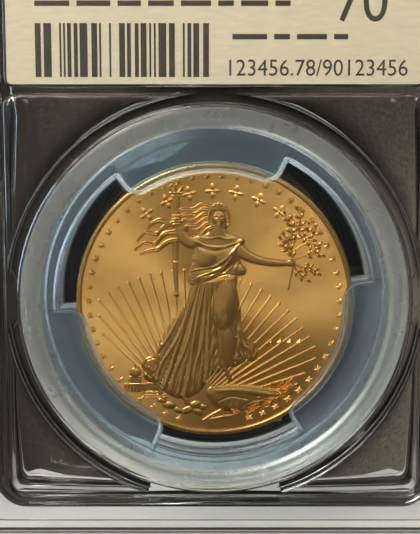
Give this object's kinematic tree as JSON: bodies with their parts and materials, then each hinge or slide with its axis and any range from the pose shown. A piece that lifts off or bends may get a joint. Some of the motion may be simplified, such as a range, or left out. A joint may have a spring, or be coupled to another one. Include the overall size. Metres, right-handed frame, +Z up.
{
  "type": "graded coin slab",
  "caption": "Sealed clear upright case that shows both faces of a gold bullion coin, gripped by a clear three-tab ring, under a printed label.",
  "frame": {"origin": "middle of the bottom edge, on the surface that the slab stands on, halfway through its thickness", "axes": "+X across the slab's width to the viewer's right, +Y through its thickness to the back (the face with the label looks along -Y), +Z up its height"},
  "size_m": [0.063, 0.0086, 0.086],
  "materials": {
    "clear_case_plastic": "clear polished moulding",
    "clear_ring_plastic": "clear moulding, slightly blue",
    "coin_gold": "struck satin gold",
    "label_paper": "printed matt paper",
    "seal_foil": "embossed foil"
  },
  "bodies": {
    "root": {"front_shell": "clear_case_plastic", "back_shell": "clear_case_plastic", "front_coin_ring": "clear_ring_plastic", "back_coin_ring": "clear_ring_plastic", "coin": "coin_gold", "grading_label": "label_paper", "security_seal": "seal_foil"}
  },
  "joints": []
}
